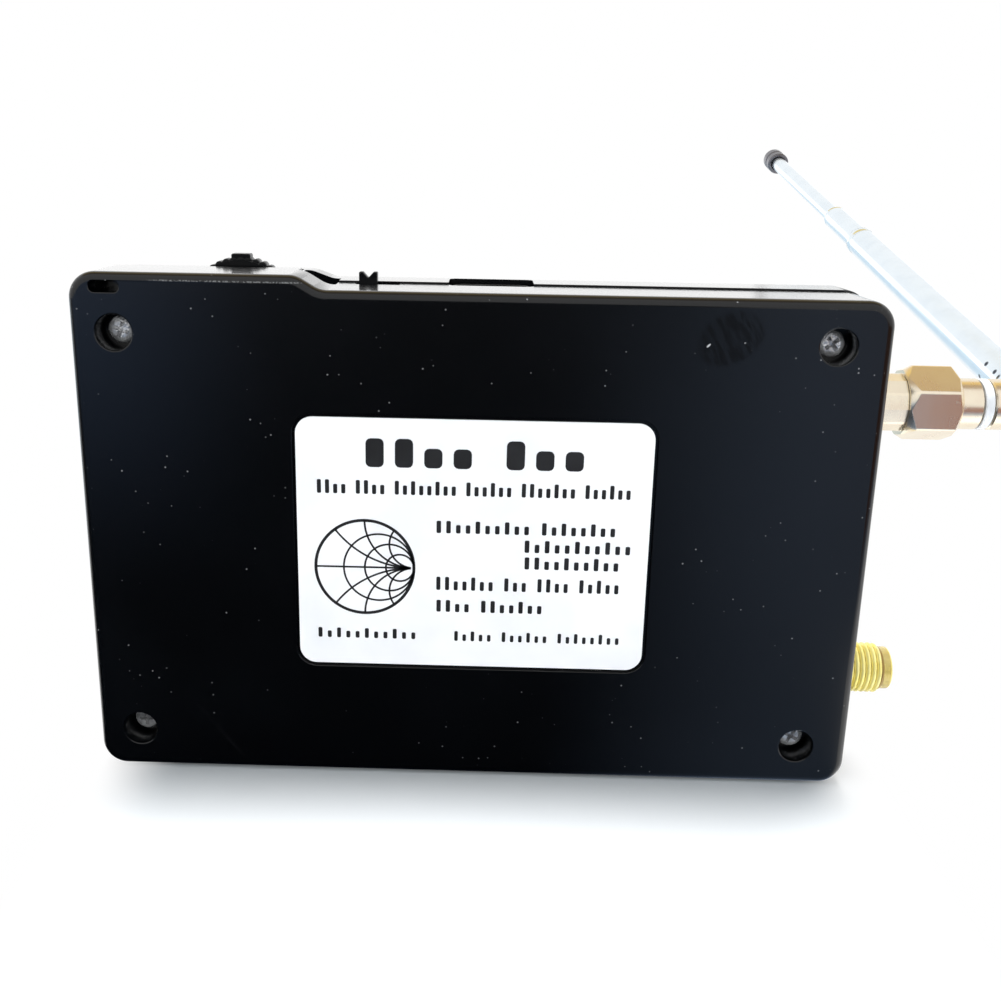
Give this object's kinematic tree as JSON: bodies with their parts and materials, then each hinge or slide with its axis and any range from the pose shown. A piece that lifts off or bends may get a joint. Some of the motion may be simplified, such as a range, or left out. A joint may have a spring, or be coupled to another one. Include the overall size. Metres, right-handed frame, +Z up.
{
  "type": "vector network analyzer",
  "caption": "Handheld vector network analyzer in a black case, with a display, thumb wheel, slide switch, USB socket, threaded coaxial ports and a telescopic antenna.",
  "frame": {"origin": "middle of the case's flat bottom face, on which the analyzer stands", "axes": "+Z up; +Y out of the rear face with the label and screws; -Y out of the display; -X out of the two ports; +X out of the end beside the thumb wheel"},
  "size_m": [0.115, 0.1441, 0.0783],
  "materials": {
    "black_case": "semi-gloss moulded black",
    "white_label": "satin printed film",
    "screw_steel": "bright plated",
    "board_laminate": "green solder mask",
    "chip_package": "matt black resin",
    "tinned_steel": "tinned",
    "lamp_resin": "clear resin",
    "dark_screen": "dark polished screen, switched off",
    "backlight_plastic": "white",
    "black_foam": "foam",
    "amber_film": "amber film",
    "ivory_plastic": "ivory moulded",
    "grey_tape": "foam tape",
    "battery_foil": "satin foil pouch",
    "red_insulation": "satin",
    "black_insulation": "satin",
    "switch_plastic": "matt black",
    "black_control": "semi-gloss moulded black",
    "gold_plate": "bright gold plate",
    "pale_gold_plate": "bright pale gold plate",
    "white_insulator": "white, waxy",
    "bright_nickel": "bright nickel plate"
  },
  "bodies": {
    "case": {"rear_shell": "black_case", "front_shell": "black_case", "rear_label": "white_label", "case_screw_low_port_side": "screw_steel", "case_screw_low_wheel_side": "screw_steel", "case_screw_high_port_side": "screw_steel", "case_screw_high_wheel_side": "screw_steel", "main_board": "board_laminate", "mixer_chip_upper": "chip_package", "mixer_chip_lower": "chip_package", "mixer_chip_middle": "chip_package", "clock_chip": "chip_package", "processor_chip": "chip_package", "power_chip": "chip_package", "crystal_can": "tinned_steel", "shield_can_upper": "tinned_steel", "shield_can_lower": "tinned_steel", "status_lamp": "lamp_resin", "touch_panel": "dark_screen", "display_panel": "dark_screen", "backlight_unit": "backlight_plastic", "foam_pad_port_side": "black_foam", "foam_pad_wheel_side": "black_foam", "display_ribbon": "amber_film", "ribbon_socket": "ivory_plastic", "battery_pad": "grey_tape", "battery_cell": "battery_foil", "battery_socket": "ivory_plastic", "battery_lead_red": "red_insulation", "battery_lead_black": "black_insulation", "jog_switch_body": "switch_plastic", "power_switch_body": "tinned_steel", "usb_socket_shell": "tinned_steel", "usb_socket_tongue": "switch_plastic", "upper_port_jack": "gold_plate", "upper_port_insulator": "white_insulator", "upper_port_contact": "gold_plate", "lower_port_jack": "gold_plate", "lower_port_insulator": "white_insulator", "lower_port_contact": "gold_plate"},
    "jog_carriage": {"jog_carriage": "ivory_plastic"},
    "jog_wheel": {"jog_wheel": "black_control"},
    "power_switch_slider": {"power_switch_slider": "black_control"},
    "antenna_plug": {"antenna_plug_body": "pale_gold_plate", "antenna_plug_insulator": "white_insulator", "antenna_plug_pin": "gold_plate", "antenna_ring": "white_insulator"},
    "antenna_nut": {"antenna_nut": "pale_gold_plate"},
    "antenna_swivel": {"swivel_fork": "pale_gold_plate", "elbow_pin": "bright_nickel"},
    "outer_tube": {"outer_tube": "bright_nickel"},
    "middle_tube": {"middle_tube": "bright_nickel"},
    "inner_rod": {"inner_rod": "bright_nickel", "tip_cap": "bright_nickel"}
  },
  "joints": [
    {"name": "jog_press", "type": "slide", "parent": "case", "child": "jog_carriage", "axis": [0, 0, -1], "range_m": [0, 0.0003], "stiffness_N_per_m": 400},
    {"name": "jog_rock", "type": "hinge", "parent": "jog_carriage", "child": "jog_wheel", "pos_m": [0.0287, -0.0034, 0.05505], "axis": [0, 1, 0], "range_deg": [-12, 12], "stiffness_Nm_per_rad": 0.01},
    {"name": "power_switch_slide", "type": "slide", "parent": "case", "child": "power_switch_slider", "axis": [-1, 0, 0], "range_m": [0, 0.0022]},
    {"name": "antenna_unscrew", "type": "slide", "parent": "case", "child": "antenna_plug", "axis": [-1, 0, 0], "range_m": [0, 0.00353]},
    {"name": "antenna_nut_turn", "type": "hinge", "parent": "antenna_plug", "child": "antenna_nut", "pos_m": [-0.0533, -0.0008, 0.0463], "axis": [-1, 0, 0], "range_deg": [0, 1880]},
    {"name": "antenna_swivel", "type": "hinge", "parent": "antenna_plug", "child": "antenna_swivel", "pos_m": [-0.06645, -0.0008, 0.0463], "axis": [-1, 0, 0], "continuous": true},
    {"name": "antenna_elbow", "type": "hinge", "parent": "antenna_swivel", "child": "outer_tube", "pos_m": [-0.06645, -0.0008, 0.0463], "axis": [0, -0.2164, -0.9763], "range_deg": [0, 90]},
    {"name": "middle_tube_slide", "type": "slide", "parent": "outer_tube", "child": "middle_tube", "axis": [0, -0.9763, 0.2164], "range_m": [-0.0155, 0.044]},
    {"name": "inner_rod_slide", "type": "slide", "parent": "middle_tube", "child": "inner_rod", "axis": [0, -0.9763, 0.2164], "range_m": [-0.046, 0.006]}
  ],
  "couplings": [
    {"joint": "antenna_nut_turn", "follows": "antenna_unscrew", "rad_per_m": 8904.7}
  ]
}
